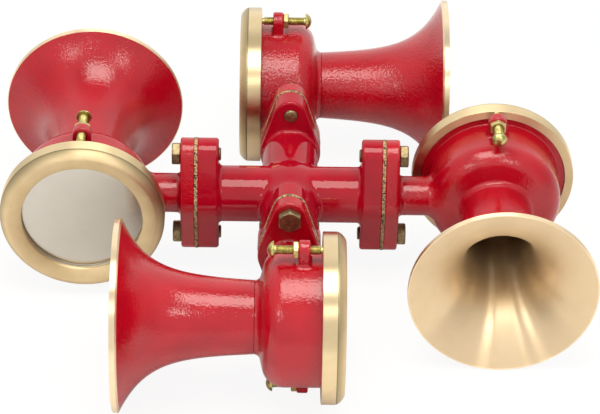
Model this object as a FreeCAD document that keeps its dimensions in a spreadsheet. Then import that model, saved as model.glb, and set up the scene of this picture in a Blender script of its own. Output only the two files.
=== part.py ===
"""Cluster of four diaphragm air horns on one cross-shaped air manifold.

Four equal horns stand round the manifold like the sails of a windmill. Air comes up through the
hexagon bush under the manifold and out along its arms. At each arm it passes a bolted oval flange
and a neck, and fills the round housing. The trumpet runs through the housing, and its inner end is
the seat of a flat metal diaphragm. Air lifts the diaphragm off the seat, escapes down the trumpet,
and the diaphragm springs back, some hundreds of times a second. A screwed brass ring clamps the
diaphragm's rim, and two screws in the housing's lugs press on the ring's rear face and lock it.

The cluster rests on the rims of its four bells. The origin is on that surface, under the
manifold's centre. Z is up, X and Y lie along the manifold's arms. Lengths are in millimetres.
"""

import FreeCAD
import Part
import Sketcher
import math
import os
import re

# The driving sizes. Each one can be changed by itself.
SIZES = {
    # the cluster
    "horn_offset": 179.0,
    "mouth_radius": 80.0,
    "mouth_reach": 143.0,
    # clearances shared by all pieces
    "thread_clearance": 0.05,
    "contact_gap": 0.05,
    "cut_overrun": 4.0,
    # manifold, from its centre
    "arm_radius": 24.5,
    "arm_bore_radius": 17.0,
    "manifold_reach": 80.0,
    "manifold_flange_thickness": 18.0,
    "hub_swell": 1.5,
    "cross_fillet": 4.0,
    "boss_radius": 23.0,
    "boss_drop": 31.0,
    "arm_root_fillet": 1.2,
    "arm_edge_round": 0.9,
    # inlet bush in the manifold's boss
    "inlet_radius": 15.15,
    "inlet_thread_depth": 18.0,
    "bush_flats": 46.0,
    "bush_corner_slope": 2.0,
    "bush_spigot_radius": 17.8,
    "bush_spigot_length": 11.0,
    "bush_passage_radius": 14.0,
    # oval flanges and their gasket
    "flange_hub_radius": 26.8,
    "flange_ear_radius": 14.3,
    "flange_bolt_offset": 41.0,
    "flange_fillet": 4.0,
    "flange_edge_round": 2.0,
    "horn_flange_thickness": 12.0,
    "gasket_thickness": 3.0,
    "gasket_overhang": 0.6,
    # flange bolts
    "bolt_radius": 6.0,
    "bolt_hole_clearance": 0.5,
    "bolt_head_flats": 18.0,
    "bolt_head_height": 7.5,
    "bolt_end_stand": 2.0,
    # housing
    "neck_radius": 17.2,
    "neck_bore_radius": 13.0,
    "neck_fillet": 5.0,
    "drum_radius": 57.4,
    "housing_wall": 6.0,
    "housing_reach": 36.0,
    "rim_step": 6.1,
    "rim_length": 7.5,
    "shoulder_start": 7.0,
    "shoulder_round": 13.5,
    "front_lean": 14.0,
    "collar_radius": 30.6,
    "collar_blend": 3.5,
    "collar_land": 1.0,
    # lugs of the housing
    "lug_width": 16.5,
    "lug_thickness": 9.5,
    "lug_front": 7.5,
    "lug_fillet": 2.5,
    # trumpet
    "spigot_radius": 28.0,
    "spigot_length": 11.0,
    "throat_tube_radius": 25.5,
    "throat_radius": 21.0,
    "seat_width": 3.0,
    "seat_height": 2.0,
    "bore_growth": 6.0,
    "bell_growth": 4.7,
    "bore_flare_length": 21.0,
    "bell_flare_length": 21.8,
    "rim_band_width": 4.8,
    "rim_band_step": 0.6,
    "mouth_edge": 1.0,
    # diaphragm and what clamps it
    "disc_margin": 0.7,
    "clamp_width": 9.8,
    "seal_thickness": 1.0,
    "diaphragm_thickness": 0.8,
    "diaphragm_travel": 0.25,
    "slip_ring_thickness": 2.0,
    # clamp ring
    "ring_wall": 7.65,
    "ring_overhang": 0.7,
    "ring_lip_thickness": 2.4,
    "ring_crown": 4.0,
    "ring_corner_round": 7.0,
    "ring_face_round": 30.0,
    "ring_skirt_length": 12.8,
    # lock screws and their nuts
    "lock_screw_inset": 2.7,
    "lock_screw_radius": 3.95,
    "lock_screw_length": 40.0,
    "lock_point_radius": 2.75,
    "lock_point_length": 2.0,
    "lock_head_flats": 13.0,
    "lock_head_height": 5.5,
    "lock_crown_radius": 7.6,
    "lock_nut_thickness": 4.7,
}

# Places worked out from the sizes. In a horn's own frame x runs from the neck's axis towards the
# mouth, y runs away from the manifold and z is up. The frame's origin is on the trumpet's axis.
PLACES = {
    "flange_face": "manifold_reach + gasket_thickness - horn_offset",
    "flange_back": "flange_face + horn_flange_thickness",
    "ear_lean": "asin((flange_hub_radius - flange_ear_radius) / flange_bolt_offset)",
    "bolt_hole_radius": "bolt_radius + bolt_hole_clearance",
    "bolt_length": "horn_flange_thickness + gasket_thickness + manifold_flange_thickness"
                   " + bolt_end_stand",
    "tapped_hole_radius": "bolt_radius + thread_clearance",
    "boss_hole_radius": "bush_spigot_radius + thread_clearance",
    "boss_hole_top": "bush_spigot_length + contact_gap - boss_drop",
    "bush_foot": "-boss_drop - inlet_thread_depth",
    "rim_radius": "drum_radius + rim_step",
    "rim_back": "rim_length - housing_reach",
    "shoulder_end": "shoulder_start + shoulder_round * cos(front_lean)",
    "shoulder_end_radius": "drum_radius - shoulder_round * (1 - sin(front_lean))",
    "blend_drop": "shoulder_end_radius - collar_radius - collar_blend * (1 - sin(front_lean))",
    "blend_start": "shoulder_end + blend_drop * tan(front_lean)",
    "blend_start_radius": "shoulder_end_radius - blend_drop",
    "blend_end": "blend_start + collar_blend * cos(front_lean)",
    "collar_face": "blend_end + collar_land",
    "chamber_radius": "drum_radius - housing_wall",
    "chamber_round": "shoulder_round - housing_wall",
    "chamber_round_end": "shoulder_start + chamber_round * cos(front_lean)",
    "chamber_round_end_radius": "chamber_radius - chamber_round * (1 - sin(front_lean))",
    "spigot_hole_radius": "spigot_radius + thread_clearance",
    "chamber_front": "chamber_round_end + (chamber_round_end_radius - spigot_hole_radius)"
                     " * tan(front_lean)",
    "lug_half": "lug_width / 2",
    "lug_rear": "-lug_front - lug_thickness",
    "lock_screw_circle": "ring_radius - lock_screw_inset",
    "lug_top": "lock_screw_circle + lug_half",
    "lock_hole_radius": "lock_screw_radius + thread_clearance",
    "clamp_disc_radius": "rim_radius - disc_margin",
    "clamp_bore_radius": "clamp_disc_radius - clamp_width",
    "seat_face": "-housing_reach - seal_thickness",
    "band_start": "mouth_reach - rim_band_width",
    "diaphragm_back": "seat_face - diaphragm_thickness",
    "slip_face": "diaphragm_back - diaphragm_travel - contact_gap",
    "ring_inner_face": "slip_face - slip_ring_thickness - contact_gap",
    "ring_rear": "ring_inner_face + ring_skirt_length",
    "ring_edge": "ring_inner_face - ring_lip_thickness",
    "ring_front": "ring_edge - ring_crown",
    "ring_bore_radius": "rim_radius + thread_clearance",
    "ring_radius": "ring_bore_radius + ring_wall",
    "ring_opening_radius": "clamp_bore_radius - ring_overhang",
    "lock_tip": "ring_rear + contact_gap",
    "lock_head_seat": "lock_tip + lock_screw_length",
}

# Each horn's side of the manifold, and its turn about the upright axis from the far side.
SIDES = {"far": 0, "left": 90, "near": 180, "right": 270}
ENDS = {"upper": "", "lower": "-"}

WALL_POINTS = 9
NEAR = 1e-3
FULL_TURN = 360
ARMS = 4

X, Y, Z = FreeCAD.Vector(1, 0, 0), FreeCAD.Vector(0, 1, 0), FreeCAD.Vector(0, 0, 1)
ALONG_X_FLAT_UP = FreeCAD.Rotation(Y, Z, X)
ALONG_X_CORNER_UP = FreeCAD.Rotation(Z, -Y, X)
ALONG_Y = FreeCAD.Rotation(Z, X, Y)
UPRIGHT = FreeCAD.Rotation(X, Y, Z)

doc = FreeCAD.newDocument("AirHornCluster")
sheet = doc.addObject("Spreadsheet::Sheet", "Sizes")
for row, (alias, size) in enumerate(SIZES.items(), start=1):
    sheet.set(f"A{row}", alias)
    sheet.set(f"B{row}", str(size))
    sheet.setAlias(f"B{row}", alias)
doc.recompute()


# Formulas of size and place names

def formula(text):
    """Spells a formula the way the document's expressions want it."""

    def spell(match):
        word = match.group(0)
        if word in PLACES:
            return "(" + formula(PLACES[word]) + ")"
        return "Sizes." + word if word in SIZES else word

    return re.sub(r"[a-z_]+", spell, text)


def value(text):
    """The number that a formula gives now."""
    result = sheet.evalExpression(formula(text))
    return float(getattr(result, "Value", result))


def bind(thing, **formulas):
    """Ties an object's properties to formulas."""
    for name, text in formulas.items():
        thing.setExpression(name, formula(text))


def place(thing, rotation=None, x="0", y="0", z="0"):
    """Gives an object its rotation, and ties its position to formulas."""
    thing.Placement = FreeCAD.Placement(FreeCAD.Vector(), rotation or FreeCAD.Rotation())
    for axis, text in zip("xyz", (x, y, z)):
        if text != "0":
            thing.setExpression(f"Placement.Base.{axis}", formula(text))


def seat_on_side(thing, side):
    """Puts a piece made in a horn's own frame on its side of the manifold."""
    turn = SIDES[side]
    thing.setExpression("Placement.Rotation.Angle", str(turn))
    thing.setExpression("Placement.Base.x", formula(f"-horn_offset * sin({turn})"))
    thing.setExpression("Placement.Base.y", formula(f"horn_offset * cos({turn})"))
    thing.setExpression("Placement.Base.z", formula("mouth_radius"))


# Sketches

def new_body(name):
    """A body whose label is the piece's name."""
    body = doc.addObject("PartDesign::Body", name)
    body.Label = name
    return body


def sketch_on(body, role, name, lift="0"):
    """A sketch on one of the body's origin planes, lifted along that plane's normal."""
    plane = next(f for f in body.Origin.OriginFeatures if f.Role == role)
    sketch = body.newObject("Sketcher::SketchObject", f"{body.Name}_{name}")
    sketch.AttachmentSupport = (plane, [""])
    sketch.MapMode = "FlatFace"
    if lift != "0":
        sketch.setExpression("AttachmentOffset.Base.z", formula(lift))
    return sketch


def measure(sketch, kind, text, *references):
    """Adds a dimension to a sketch and ties it to a formula."""
    index = sketch.addConstraint(Sketcher.Constraint(kind, *references, value(text)))
    sketch.setExpression(f"Constraints[{index}]", formula(text))


def pin(sketch, index, end, across, up):
    """Fixes one point of a sketch by its two coordinates. A zero puts it on that axis."""
    for kind, text, axis in (("DistanceX", across, -2), ("DistanceY", up, -1)):
        if text == "0":
            sketch.addConstraint(Sketcher.Constraint("PointOnObject", index, end, axis))
        else:
            measure(sketch, kind, text, -1, 1, index, end)


def add_circle(sketch, radius, across="0", up="0"):
    """Adds a circle of a radius, centred on a point."""
    centre = FreeCAD.Vector(value(across), value(up), 0)
    circle = Part.Circle(centre, Z, value(radius))
    index = sketch.addGeometry(circle, False)
    measure(sketch, "Radius", radius, index)
    pin(sketch, index, 3, across, up)


def add_outline(sketch, *corners):
    """Adds a closed outline. A corner is its two coordinates, and the edge that leads to it is
    straight, or an arc if a radius and the side of the arc's centre, left or right, follow."""
    points = [FreeCAD.Vector(value(c[0]), value(c[1]), 0) for c in corners]
    starts = []
    ends = []
    for i, corner in enumerate(corners):
        here, there = points[i - 1], points[i]
        if len(corner) == 2:
            index = sketch.addGeometry(Part.LineSegment(here, there), False)
            starts.append((index, 1))
            ends.append((index, 2))
            continue
        radius, side = value(corner[2]), corner[3]
        chord = there - here
        rise = math.sqrt(max(radius ** 2 - (chord.Length / 2) ** 2, 0))
        across = FreeCAD.Vector(-chord.y, chord.x, 0).normalize()
        sign = 1 if side == "left" else -1
        centre = (here + there) * 0.5 + across * rise * sign
        first, last = (here, there) if side == "left" else (there, here)
        begin = math.atan2(first.y - centre.y, first.x - centre.x)
        finish = math.atan2(last.y - centre.y, last.x - centre.x)
        if finish < begin:
            finish += 2 * math.pi
        circle = Part.Circle(centre, Z, radius)
        index = sketch.addGeometry(Part.ArcOfCircle(circle, begin, finish), False)
        starts.append((index, 1 if side == "left" else 2))
        ends.append((index, 2 if side == "left" else 1))
        measure(sketch, "Radius", corner[2], index)
    for i, corner in enumerate(corners):
        after = (i + 1) % len(corners)
        sketch.addConstraint(Sketcher.Constraint("Coincident", *ends[i], *starts[after]))
        pin(sketch, *ends[i], corner[0], corner[1])


# Features of a body

def revolve(body, sketch, name, cut=False):
    """Turns a sketch all the way round its horizontal axis, to add or to cut."""
    kind = "PartDesign::Groove" if cut else "PartDesign::Revolution"
    feature = body.newObject(kind, f"{body.Name}_{name}")
    feature.Profile = sketch
    feature.ReferenceAxis = (sketch, ["H_Axis"])
    feature.Angle = FULL_TURN
    return feature


def pad(body, sketch, name, length, back=False, both=False):
    """Pads a sketch by a length, forwards, backwards or half each way."""
    feature = body.newObject("PartDesign::Pad", f"{body.Name}_{name}")
    feature.Profile = sketch
    feature.Reversed = back
    feature.Midplane = both
    bind(feature, Length=length)
    return feature


def pocket(body, sketch, name, length, back=False, both=False):
    """Cuts a sketch's shape by a length, against its normal, along it or half each way."""
    feature = body.newObject("PartDesign::Pocket", f"{body.Name}_{name}")
    feature.Profile = sketch
    feature.Reversed = back
    feature.Midplane = both
    bind(feature, Length=length)
    return feature


def fillet(body, base, name, radius, wanted):
    """Rounds the edges of a feature that pass a test."""
    doc.recompute()
    names = [f"Edge{i}" for i, edge in enumerate(base.Shape.Edges, start=1) if wanted(edge)]
    feature = body.newObject("PartDesign::Fillet", f"{body.Name}_{name}")
    feature.Base = (base, names)
    bind(feature, Radius=radius)
    return feature


def middle(edge):
    """The point half way along an edge."""
    return edge.valueAt((edge.FirstParameter + edge.LastParameter) / 2)


def flat_at(edge, axis, height):
    """Does the whole edge lie in the plane where one coordinate has this value?"""
    ends = [getattr(edge.BoundBox, axis.upper() + end) for end in ("Min", "Max")]
    return all(abs(end - height) < NEAR for end in ends)


def off_axis(point, axis):
    """A point's distance from one of the frame's axes."""
    return math.hypot(*(getattr(point, other) for other in "xyz".replace(axis, "")))


def is_bent(edge):
    """Is the edge longer than the straight way between its ends?"""
    ends = [edge.valueAt(at) for at in (edge.FirstParameter, edge.LastParameter)]
    return edge.Length > ends[0].distanceToPoint(ends[1]) + NEAR


def is_circle(edge, radius):
    """Is the edge part of a circle of this radius?"""
    return hasattr(edge.Curve, "Radius") and abs(edge.Curve.Radius - radius) < NEAR


# Shapes that several pieces share

def flange_outline(sketch, margin):
    """The oval of a two-bolt flange: a hub circle, an ear circle at each bolt, straight sides."""
    hub = f"(flange_hub_radius + {margin})"
    ear = f"(flange_ear_radius + {margin})"
    hub_side, hub_rise = f"{hub} * cos(ear_lean)", f"{hub} * sin(ear_lean)"
    ear_side, ear_rise = f"{ear} * cos(ear_lean)", f"(flange_bolt_offset + {ear} * sin(ear_lean))"
    tip = f"(flange_bolt_offset + {ear})"
    add_outline(
        sketch,
        (hub_side, f"-{hub_rise}"),
        (hub_side, hub_rise, hub, "left"),
        (ear_side, ear_rise),
        ("0", tip, ear, "left"),
        (f"-{ear_side}", ear_rise, ear, "left"),
        (f"-{hub_side}", hub_rise),
        (f"-{hub_side}", f"-{hub_rise}", hub, "left"),
        (f"-{ear_side}", f"-{ear_rise}"),
        ("0", f"-{tip}", ear, "left"),
        (ear_side, f"-{ear_rise}", ear, "left"),
    )


def flange_holes(sketch, radius):
    """The two bolt holes of a flange."""
    for sign in ENDS.values():
        add_circle(sketch, radius, "0", f"{sign}flange_bolt_offset")


def cylinder(name, radius, length, rotation, x="0", y="0", z="0"):
    """A round bar."""
    bar = doc.addObject("Part::Cylinder", name)
    bind(bar, Radius=radius, Height=length)
    place(bar, rotation, x, y, z)
    return bar


def hexagon(name, flats, length, rotation, x="0", y="0", z="0"):
    """A six-sided bar, by its width across the flats."""
    bar = doc.addObject("Part::Prism", name)
    bar.Polygon = 6
    bind(bar, Circumradius=f"{flats} / sqrt(3)", Height=length)
    place(bar, rotation, x, y, z)
    return bar


def join(kind, name, *shapes):
    """A boolean of a first shape and one other."""
    result = doc.addObject(f"Part::{kind}", name)
    result.Base, result.Tool = shapes
    return result


# Manifold

def inside_corner(edge):
    """Is this an edge where the arms, the hub or the boss of the bare cross meet?"""
    reach, drop = value("manifold_reach"), value("boss_drop")
    at_ends = any(flat_at(edge, axis, sign * reach) for axis in "xy" for sign in (1, -1))
    return is_bent(edge) and not at_ends and not flat_at(edge, "z", -drop)


def make_manifold():
    """A cast cross of two equal pipes, with an oval flange on each arm and a tapped boss below."""
    body = new_body("manifold")
    for role, way in (("YZ_Plane", "x"), ("XZ_Plane", "y")):
        sketch = sketch_on(body, role, f"arm_section_{way}")
        add_circle(sketch, "arm_radius")
        pad(body, sketch, f"arm_{way}", "2 * manifold_reach", both=True)
    hub = body.newObject("PartDesign::AdditiveSphere", "manifold_hub")
    bind(hub, Radius="arm_radius + hub_swell")
    sketch = sketch_on(body, "XY_Plane", "boss_section")
    add_circle(sketch, "boss_radius")
    boss = pad(body, sketch, "boss", "boss_drop", back=True)
    fillet(body, boss, "cross_fillets", "cross_fillet", inside_corner)

    sketch = sketch_on(body, "YZ_Plane", "flange_section", "manifold_reach")
    flange_outline(sketch, "0")
    flange_holes(sketch, "tapped_hole_radius")
    flange = pad(body, sketch, "flange", "manifold_flange_thickness", back=True)
    doc.recompute()
    pattern = body.newObject("PartDesign::PolarPattern", "manifold_flanges")
    pattern.Originals = [flange]
    pattern.Axis = (next(f for f in body.Origin.OriginFeatures if f.Role == "Z_Axis"), [""])
    pattern.Angle = FULL_TURN
    pattern.Occurrences = ARMS
    body.Tip = pattern

    inner = value("manifold_reach - manifold_flange_thickness")
    arm, hole = value("arm_radius"), value("tapped_hole_radius")

    def on_inner_face(edge):
        return any(flat_at(edge, axis, sign * inner) for axis in "xy" for sign in (1, -1))

    def flange_root(edge):
        return on_inner_face(edge) and is_circle(edge, arm)

    def flange_edge(edge):
        return on_inner_face(edge) and not is_circle(edge, arm) and not is_circle(edge, hole)

    edges = fillet(body, pattern, "flange_edges", "arm_edge_round", flange_edge)
    fillet(body, edges, "flange_roots", "arm_root_fillet", flange_root)

    for role, way in (("YZ_Plane", "x"), ("XZ_Plane", "y")):
        sketch = sketch_on(body, role, f"bore_section_{way}")
        add_circle(sketch, "arm_bore_radius")
        pocket(body, sketch, f"bore_{way}", "2 * (manifold_reach + cut_overrun)", both=True)
    sketch = sketch_on(body, "XY_Plane", "passage_section")
    add_circle(sketch, "bush_passage_radius")
    pocket(body, sketch, "passage", "boss_drop + cut_overrun")
    sketch = sketch_on(body, "XY_Plane", "boss_hole_section", "boss_hole_top")
    add_circle(sketch, "boss_hole_radius")
    pocket(body, sketch, "boss_hole", "bush_spigot_length + cut_overrun")
    place(body, z="mouth_radius")
    return body


def make_inlet_bush():
    """The hexagon bush that screws into the boss. Its lower half takes the air line's thread."""
    bar = hexagon("inlet_bush_bar", "bush_flats", "inlet_thread_depth", UPRIGHT, z="bush_foot")
    turned = doc.addObject("Part::Cone", "inlet_bush_turned")
    bind(turned, Radius1="bush_flats / 2", Height="inlet_thread_depth",
         Radius2="bush_flats / 2 + inlet_thread_depth * bush_corner_slope")
    place(turned, z="bush_foot")
    head = join("Common", "inlet_bush_head", bar, turned)
    spigot = cylinder("inlet_bush_spigot", "bush_spigot_radius", "bush_spigot_length", UPRIGHT,
                      z="-boss_drop")
    solid = join("Fuse", "inlet_bush_solid", head, spigot)
    passage = cylinder("inlet_bush_passage", "bush_passage_radius",
                       "inlet_thread_depth + bush_spigot_length", UPRIGHT, z="bush_foot")
    thread = cylinder("inlet_bush_thread", "inlet_radius", "inlet_thread_depth", UPRIGHT,
                      z="bush_foot")
    bore = join("Fuse", "inlet_bush_bore", passage, thread)
    bush = join("Cut", "inlet_bush", solid, bore)
    place(bush, z="mouth_radius")
    return bush


# Housing

def lug_outline(sketch, sign):
    """A plate that stands on the drum and ends in a half round about the lock screw."""
    side = "right" if sign else "left"
    add_outline(
        sketch,
        ("-lug_half", f"{sign}chamber_radius"),
        ("lug_half", f"{sign}chamber_radius"),
        ("lug_half", f"{sign}lock_screw_circle"),
        ("0", f"{sign}lug_top", "lug_half", side),
        ("-lug_half", f"{sign}lock_screw_circle", "lug_half", side),
    )


def make_housing(side):
    """The round cast chamber behind the diaphragm, with its neck, flange, lugs and collar."""
    body = new_body(f"{side}_housing")
    sketch = sketch_on(body, "XY_Plane", "drum_section")
    add_outline(
        sketch,
        ("-housing_reach", "0"),
        ("collar_face", "0"),
        ("collar_face", "collar_radius"),
        ("blend_end", "collar_radius"),
        ("blend_start", "blend_start_radius", "collar_blend", "right"),
        ("shoulder_end", "shoulder_end_radius"),
        ("shoulder_start", "drum_radius", "shoulder_round", "left"),
        ("rim_back", "drum_radius"),
        ("rim_back", "rim_radius"),
        ("-housing_reach", "rim_radius"),
    )
    revolve(body, sketch, "drum")

    sketch = sketch_on(body, "XZ_Plane", "neck_section")
    add_circle(sketch, "neck_radius")
    pad(body, sketch, "neck", "-flange_face")
    sketch = sketch_on(body, "XZ_Plane", "flange_section", "-flange_back")
    flange_outline(sketch, "0")
    flange_holes(sketch, "bolt_hole_radius")
    pad(body, sketch, "flange", "horn_flange_thickness")
    sketch = sketch_on(body, "YZ_Plane", "lug_section", "lug_rear")
    for sign in ENDS.values():
        lug_outline(sketch, sign)
        add_circle(sketch, "lock_hole_radius", "0", f"{sign}lock_screw_circle")
    lugs = pad(body, sketch, "lugs", "lug_thickness")

    back, neck, drum = value("flange_back"), value("neck_radius"), value("drum_radius")
    hole, half = value("bolt_hole_radius"), value("lug_half")
    low, high = value("lug_rear"), value("-lug_front")

    def neck_root(edge):
        """Where the neck runs into the drum."""
        point = middle(edge)
        on_neck = abs(off_axis(point, "y") - neck) < NEAR and is_bent(edge)
        return on_neck and point.y < 0 and not flat_at(edge, "y", back)

    def lug_root(edge):
        """Where a lug stands on the drum."""
        point = middle(edge)
        within = low - NEAR < point.x < high + NEAR and abs(point.y) < half + NEAR
        return within and abs(off_axis(point, "x") - drum) < NEAR and abs(point.z) > drum / 2

    def flange_root(edge):
        return flat_at(edge, "y", back) and is_circle(edge, neck)

    def flange_edge(edge):
        bare = not is_circle(edge, neck) and not is_circle(edge, hole)
        return flat_at(edge, "y", back) and bare

    step = fillet(body, lugs, "neck_roots", "neck_fillet", neck_root)
    step = fillet(body, step, "lug_roots", "lug_fillet", lug_root)
    step = fillet(body, step, "flange_edges", "flange_edge_round", flange_edge)
    fillet(body, step, "flange_roots", "flange_fillet", flange_root)

    sketch = sketch_on(body, "XY_Plane", "chamber_section")
    add_outline(
        sketch,
        ("-housing_reach - cut_overrun", "0"),
        ("collar_face + cut_overrun", "0"),
        ("collar_face + cut_overrun", "spigot_hole_radius"),
        ("chamber_front", "spigot_hole_radius"),
        ("chamber_round_end", "chamber_round_end_radius"),
        ("shoulder_start", "chamber_radius", "chamber_round", "left"),
        ("-housing_reach - cut_overrun", "chamber_radius"),
    )
    revolve(body, sketch, "chamber", cut=True)
    sketch = sketch_on(body, "XZ_Plane", "bore_section")
    add_circle(sketch, "neck_bore_radius")
    pocket(body, sketch, "neck_bore", "cut_overrun - flange_face", back=True)
    seat_on_side(body, side)
    return body


# Trumpet

def flare(start, end, growth, length):
    """Points of a bell's wall: the radius grows evenly by one amount from end to end, and on top
    of that exponentially, so that most of the flare comes in the last stretch of that length."""
    span = value(end[0]) - value(start[0])
    swell = value(end[1]) - value(start[1]) - value(growth)
    steepness = span / value(length)
    foot = math.exp(-steepness)
    points = []
    for i in range(WALL_POINTS):
        share = math.sin(math.pi / 2 * i / (WALL_POINTS - 1))
        rise = (math.exp(steepness * (share - 1)) - foot) / (1 - foot)
        radius = value(start[1]) + value(growth) * share + swell * rise
        points.append(FreeCAD.Vector(value(start[0]) + span * share, radius, 0))
    return points


def straight_chain(corners):
    """Straight edges through corners given as formulas."""
    points = [FreeCAD.Vector(value(x), value(y), 0) for x, y in corners]
    return [Part.LineSegment(a, b).toShape() for a, b in zip(points, points[1:])]


def curve_through(points):
    """One smooth edge through points."""
    curve = Part.BSplineCurve()
    curve.interpolate(points)
    return curve.toShape()


def make_trumpet(side):
    """The bell with its throat tube, turned about its axis. The tube's inner end is the seat."""
    outside = flare(("collar_face", "collar_radius"),
                    ("band_start", "mouth_radius - rim_band_step"),
                    "bell_growth", "bell_flare_length")
    inside = flare(("seat_face", "throat_radius"),
                   ("mouth_reach", "mouth_radius - mouth_edge"),
                   "bore_growth", "bore_flare_length")
    tube = straight_chain([
        ("seat_face", "throat_radius"),
        ("seat_face", "throat_radius + seat_width"),
        ("seat_face + seat_height", "throat_tube_radius"),
        ("collar_face - spigot_length", "throat_tube_radius"),
        ("collar_face - spigot_length", "spigot_radius"),
        ("collar_face", "spigot_radius"),
        ("collar_face", "collar_radius"),
    ])
    rim = straight_chain([
        ("band_start", "mouth_radius - rim_band_step"),
        ("band_start", "mouth_radius"),
        ("mouth_reach", "mouth_radius"),
        ("mouth_reach", "mouth_radius - mouth_edge"),
    ])
    edges = tube + [curve_through(outside)] + rim + [curve_through(inside)]
    section = Part.Face(Part.Wire(Part.__sortEdges__(edges)))
    trumpet = doc.addObject("Part::Feature", f"{side}_trumpet")
    trumpet.Shape = section.revolve(FreeCAD.Vector(), FreeCAD.Vector(1, 0, 0), FULL_TURN)
    seat_on_side(trumpet, side)
    return trumpet


# The diaphragm, its seal and what clamps it

def make_disc(side, name, low, thickness, hole):
    """A flat disc or ring square to the trumpet's axis, of the diaphragm's outer radius."""
    body = new_body(f"{side}_{name}")
    sketch = sketch_on(body, "YZ_Plane", "outline", low)
    add_circle(sketch, "clamp_disc_radius")
    if hole:
        add_circle(sketch, "clamp_bore_radius")
    pad(body, sketch, "disc", thickness)
    seat_on_side(body, side)
    return body


def make_clamp_ring(side):
    """The brass ring that screws on to the housing's rim. Its front slopes in to the opening."""
    body = new_body(f"{side}_clamp_ring")
    sketch = sketch_on(body, "XY_Plane", "ring_section")
    add_outline(
        sketch,
        ("ring_rear", "ring_bore_radius"),
        ("ring_rear", "ring_radius"),
        ("ring_front + ring_corner_round", "ring_radius"),
        ("ring_front", "ring_radius - ring_corner_round", "ring_corner_round", "left"),
        ("ring_edge", "ring_opening_radius", "ring_face_round", "left"),
        ("ring_inner_face", "ring_opening_radius"),
        ("ring_inner_face", "ring_bore_radius"),
    )
    revolve(body, sketch, "ring")
    seat_on_side(body, side)
    return body


# Screws and nuts

def make_lock_screw(side, end):
    """A hexagon screw with a domed head and a plain point that presses on the clamp ring."""
    name = f"{side}_{end}_lock_screw"
    height = ENDS[end] + "lock_screw_circle"
    bar = hexagon(f"{name}_bar", "lock_head_flats", "lock_head_height", ALONG_X_FLAT_UP,
                  "lock_head_seat", "0", height)
    ball = doc.addObject("Part::Sphere", f"{name}_ball")
    bind(ball, Radius="lock_crown_radius")
    place(ball, None, "lock_head_seat + lock_head_height - lock_crown_radius", "0", height)
    head = join("Common", f"{name}_head", bar, ball)
    shank = cylinder(f"{name}_shank", "lock_screw_radius", "lock_screw_length - lock_point_length",
                     ALONG_X_FLAT_UP, "lock_tip + lock_point_length", "0", height)
    point = cylinder(f"{name}_point", "lock_point_radius", "lock_point_length",
                     ALONG_X_FLAT_UP, "lock_tip", "0", height)
    screw = doc.addObject("Part::MultiFuse", name)
    screw.Shapes = [head, shank, point]
    seat_on_side(screw, side)
    return screw


def make_lock_nut(side, end):
    """The thin nut that jams a lock screw against its lug."""
    name = f"{side}_{end}_lock_nut"
    height = ENDS[end] + "lock_screw_circle"
    bar = hexagon(f"{name}_bar", "lock_head_flats", "lock_nut_thickness", ALONG_X_CORNER_UP,
                  "-lug_front", "0", height)
    hole = cylinder(f"{name}_hole", "lock_hole_radius", "lock_nut_thickness",
                    ALONG_X_CORNER_UP, "-lug_front", "0", height)
    nut = join("Cut", name, bar, hole)
    seat_on_side(nut, side)
    return nut


def make_gasket(side):
    """The fibre gasket between the two flanges. It stands a little proud of them."""
    body = new_body(f"{side}_flange_gasket")
    sketch = sketch_on(body, "XZ_Plane", "outline", "-flange_face")
    flange_outline(sketch, "gasket_overhang")
    flange_holes(sketch, "bolt_hole_radius")
    add_circle(sketch, "arm_bore_radius")
    pad(body, sketch, "sheet", "gasket_thickness")
    seat_on_side(body, side)
    return body


def make_flange_bolts(side):
    """The two bolts of one flange joint. Each screws into the manifold's flange."""
    bolts = []
    for end, sign in ENDS.items():
        name = f"{side}_{end}_bolt"
        height = f"{sign}flange_bolt_offset"
        head = hexagon(f"{name}_head", "bolt_head_flats", "bolt_head_height", ALONG_Y,
                       "0", "flange_back", height)
        shank = cylinder(f"{name}_shank", "bolt_radius", "bolt_length", ALONG_Y,
                         "0", "flange_back - bolt_length", height)
        bolts.append(join("Fuse", name, head, shank))
    group = doc.addObject("Part::Compound", f"{side}_flange_bolts")
    group.Links = bolts
    seat_on_side(group, side)
    return group


# The whole cluster

pieces = [make_manifold(), make_inlet_bush()]
for side in SIDES:
    pieces += [
        make_housing(side),
        make_trumpet(side),
        make_disc(side, "diaphragm_seal", "seat_face", "seal_thickness", True),
        make_disc(side, "diaphragm", "diaphragm_back", "diaphragm_thickness", False),
        make_disc(side, "slip_ring", "ring_inner_face + contact_gap", "slip_ring_thickness", True),
        make_clamp_ring(side),
        make_gasket(side),
        make_flange_bolts(side),
    ]
    for end in ENDS:
        pieces += [make_lock_screw(side, end), make_lock_nut(side, end)]
doc.recompute()

for thing in doc.Objects:
    if {"Invalid", "Error"} & set(thing.State):
        raise RuntimeError(f"{thing.Name} did not build: {thing.getStatusString()}")
for piece in pieces:
    if piece.Shape.isNull() or not piece.Shape.isValid():
        raise RuntimeError(f"{piece.Label} has no sound shape")

os.makedirs("parts", exist_ok=True)
for piece in pieces:
    piece.Shape.exportStep(f"parts/{piece.Label}.step")
    solids = len(piece.Shape.Solids)
    print(f"{piece.Label}: {solids} solid(s), {piece.Shape.Volume:.0f} cubic mm")
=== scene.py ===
# %% [markdown]
# # A cluster of four air horns
#
# Four equal horns stand round a cast, cross-shaped air manifold. Each has a painted housing, a
# painted trumpet with a turned brass bell, a brass ring that clamps a bright metal diaphragm,
# screws that lock the ring, and a bolted oval flange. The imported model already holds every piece
# at its real size, its bodies and its joints. This lesson gives each piece the surface and the
# finish that it has on the real object, and leaves every place and motion as it is.

# %% The fixed frame
import math

import bpy
import numpy as np
from mathutils import Matrix, Vector


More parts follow.
